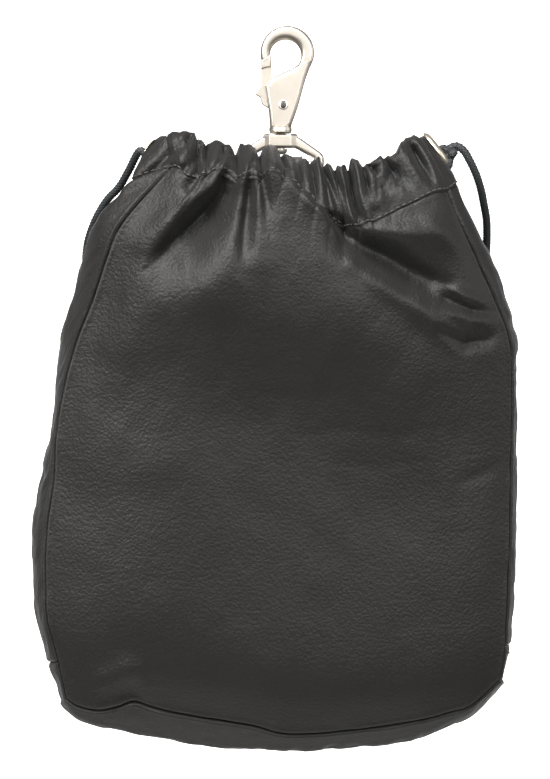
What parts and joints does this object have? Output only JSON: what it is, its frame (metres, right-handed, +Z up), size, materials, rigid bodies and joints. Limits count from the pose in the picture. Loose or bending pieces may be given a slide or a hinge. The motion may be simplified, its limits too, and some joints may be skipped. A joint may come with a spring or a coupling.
{
  "type": "leather drawstring pouch",
  "caption": "Soft black leather pouch with boxed sides, a gathered hem drawn by a braided cord, and a swivel snap hook on a leather tab at the back of the neck.",
  "frame": {"origin": "inside top of the hook's arch, where a belt loop or peg carries the pouch", "axes": "+Z up, +X to the right seen from the front, +Y to the back of the pouch"},
  "size_m": [0.1897, 0.0986, 0.2831],
  "materials": {
    "pouch_leather": "soft full-grain leather, low sheen",
    "tab_leather": "plain black strap leather",
    "satin_nickel": "satin nickel-plated casting",
    "pale_grommet": "pale nickel-brass, worn bright",
    "black_cord": "tight braided cord"
  },
  "bodies": {
    "hook": {"hook_body": "satin_nickel", "gate_pin": "satin_nickel"},
    "gate": {"gate": "satin_nickel"},
    "ring": {"swivel_ring": "satin_nickel"},
    "pouch": {"front_panel": "pouch_leather", "back_panel": "pouch_leather", "left_gusset": "pouch_leather", "right_gusset": "pouch_leather", "base_strip": "pouch_leather", "hem_casing": "pouch_leather", "keeper_tab": "tab_leather", "right_grommet": "pale_grommet", "left_grommet": "pale_grommet", "cord_knot": "black_cord", "drawcord": "black_cord"}
  },
  "joints": [
    {"name": "gate_swing", "type": "hinge", "parent": "hook", "child": "gate", "pos_m": [-0.00025, 0, -0.0254], "axis": [0, 1, 0], "range_deg": [0, 20], "stiffness_Nm_per_rad": 0.008, "springref_deg": -20.05},
    {"name": "ring_swivel", "type": "hinge", "parent": "hook", "child": "ring", "pos_m": [-0.00137, 0, -0.0366], "axis": [0, 0, 1], "continuous": true},
    {"name": "pouch_swing", "type": "hinge", "parent": "ring", "child": "pouch", "pos_m": [-0.00137, 0, -0.04875], "axis": [1, 0, 0], "range_deg": [-60, 60]}
  ]
}
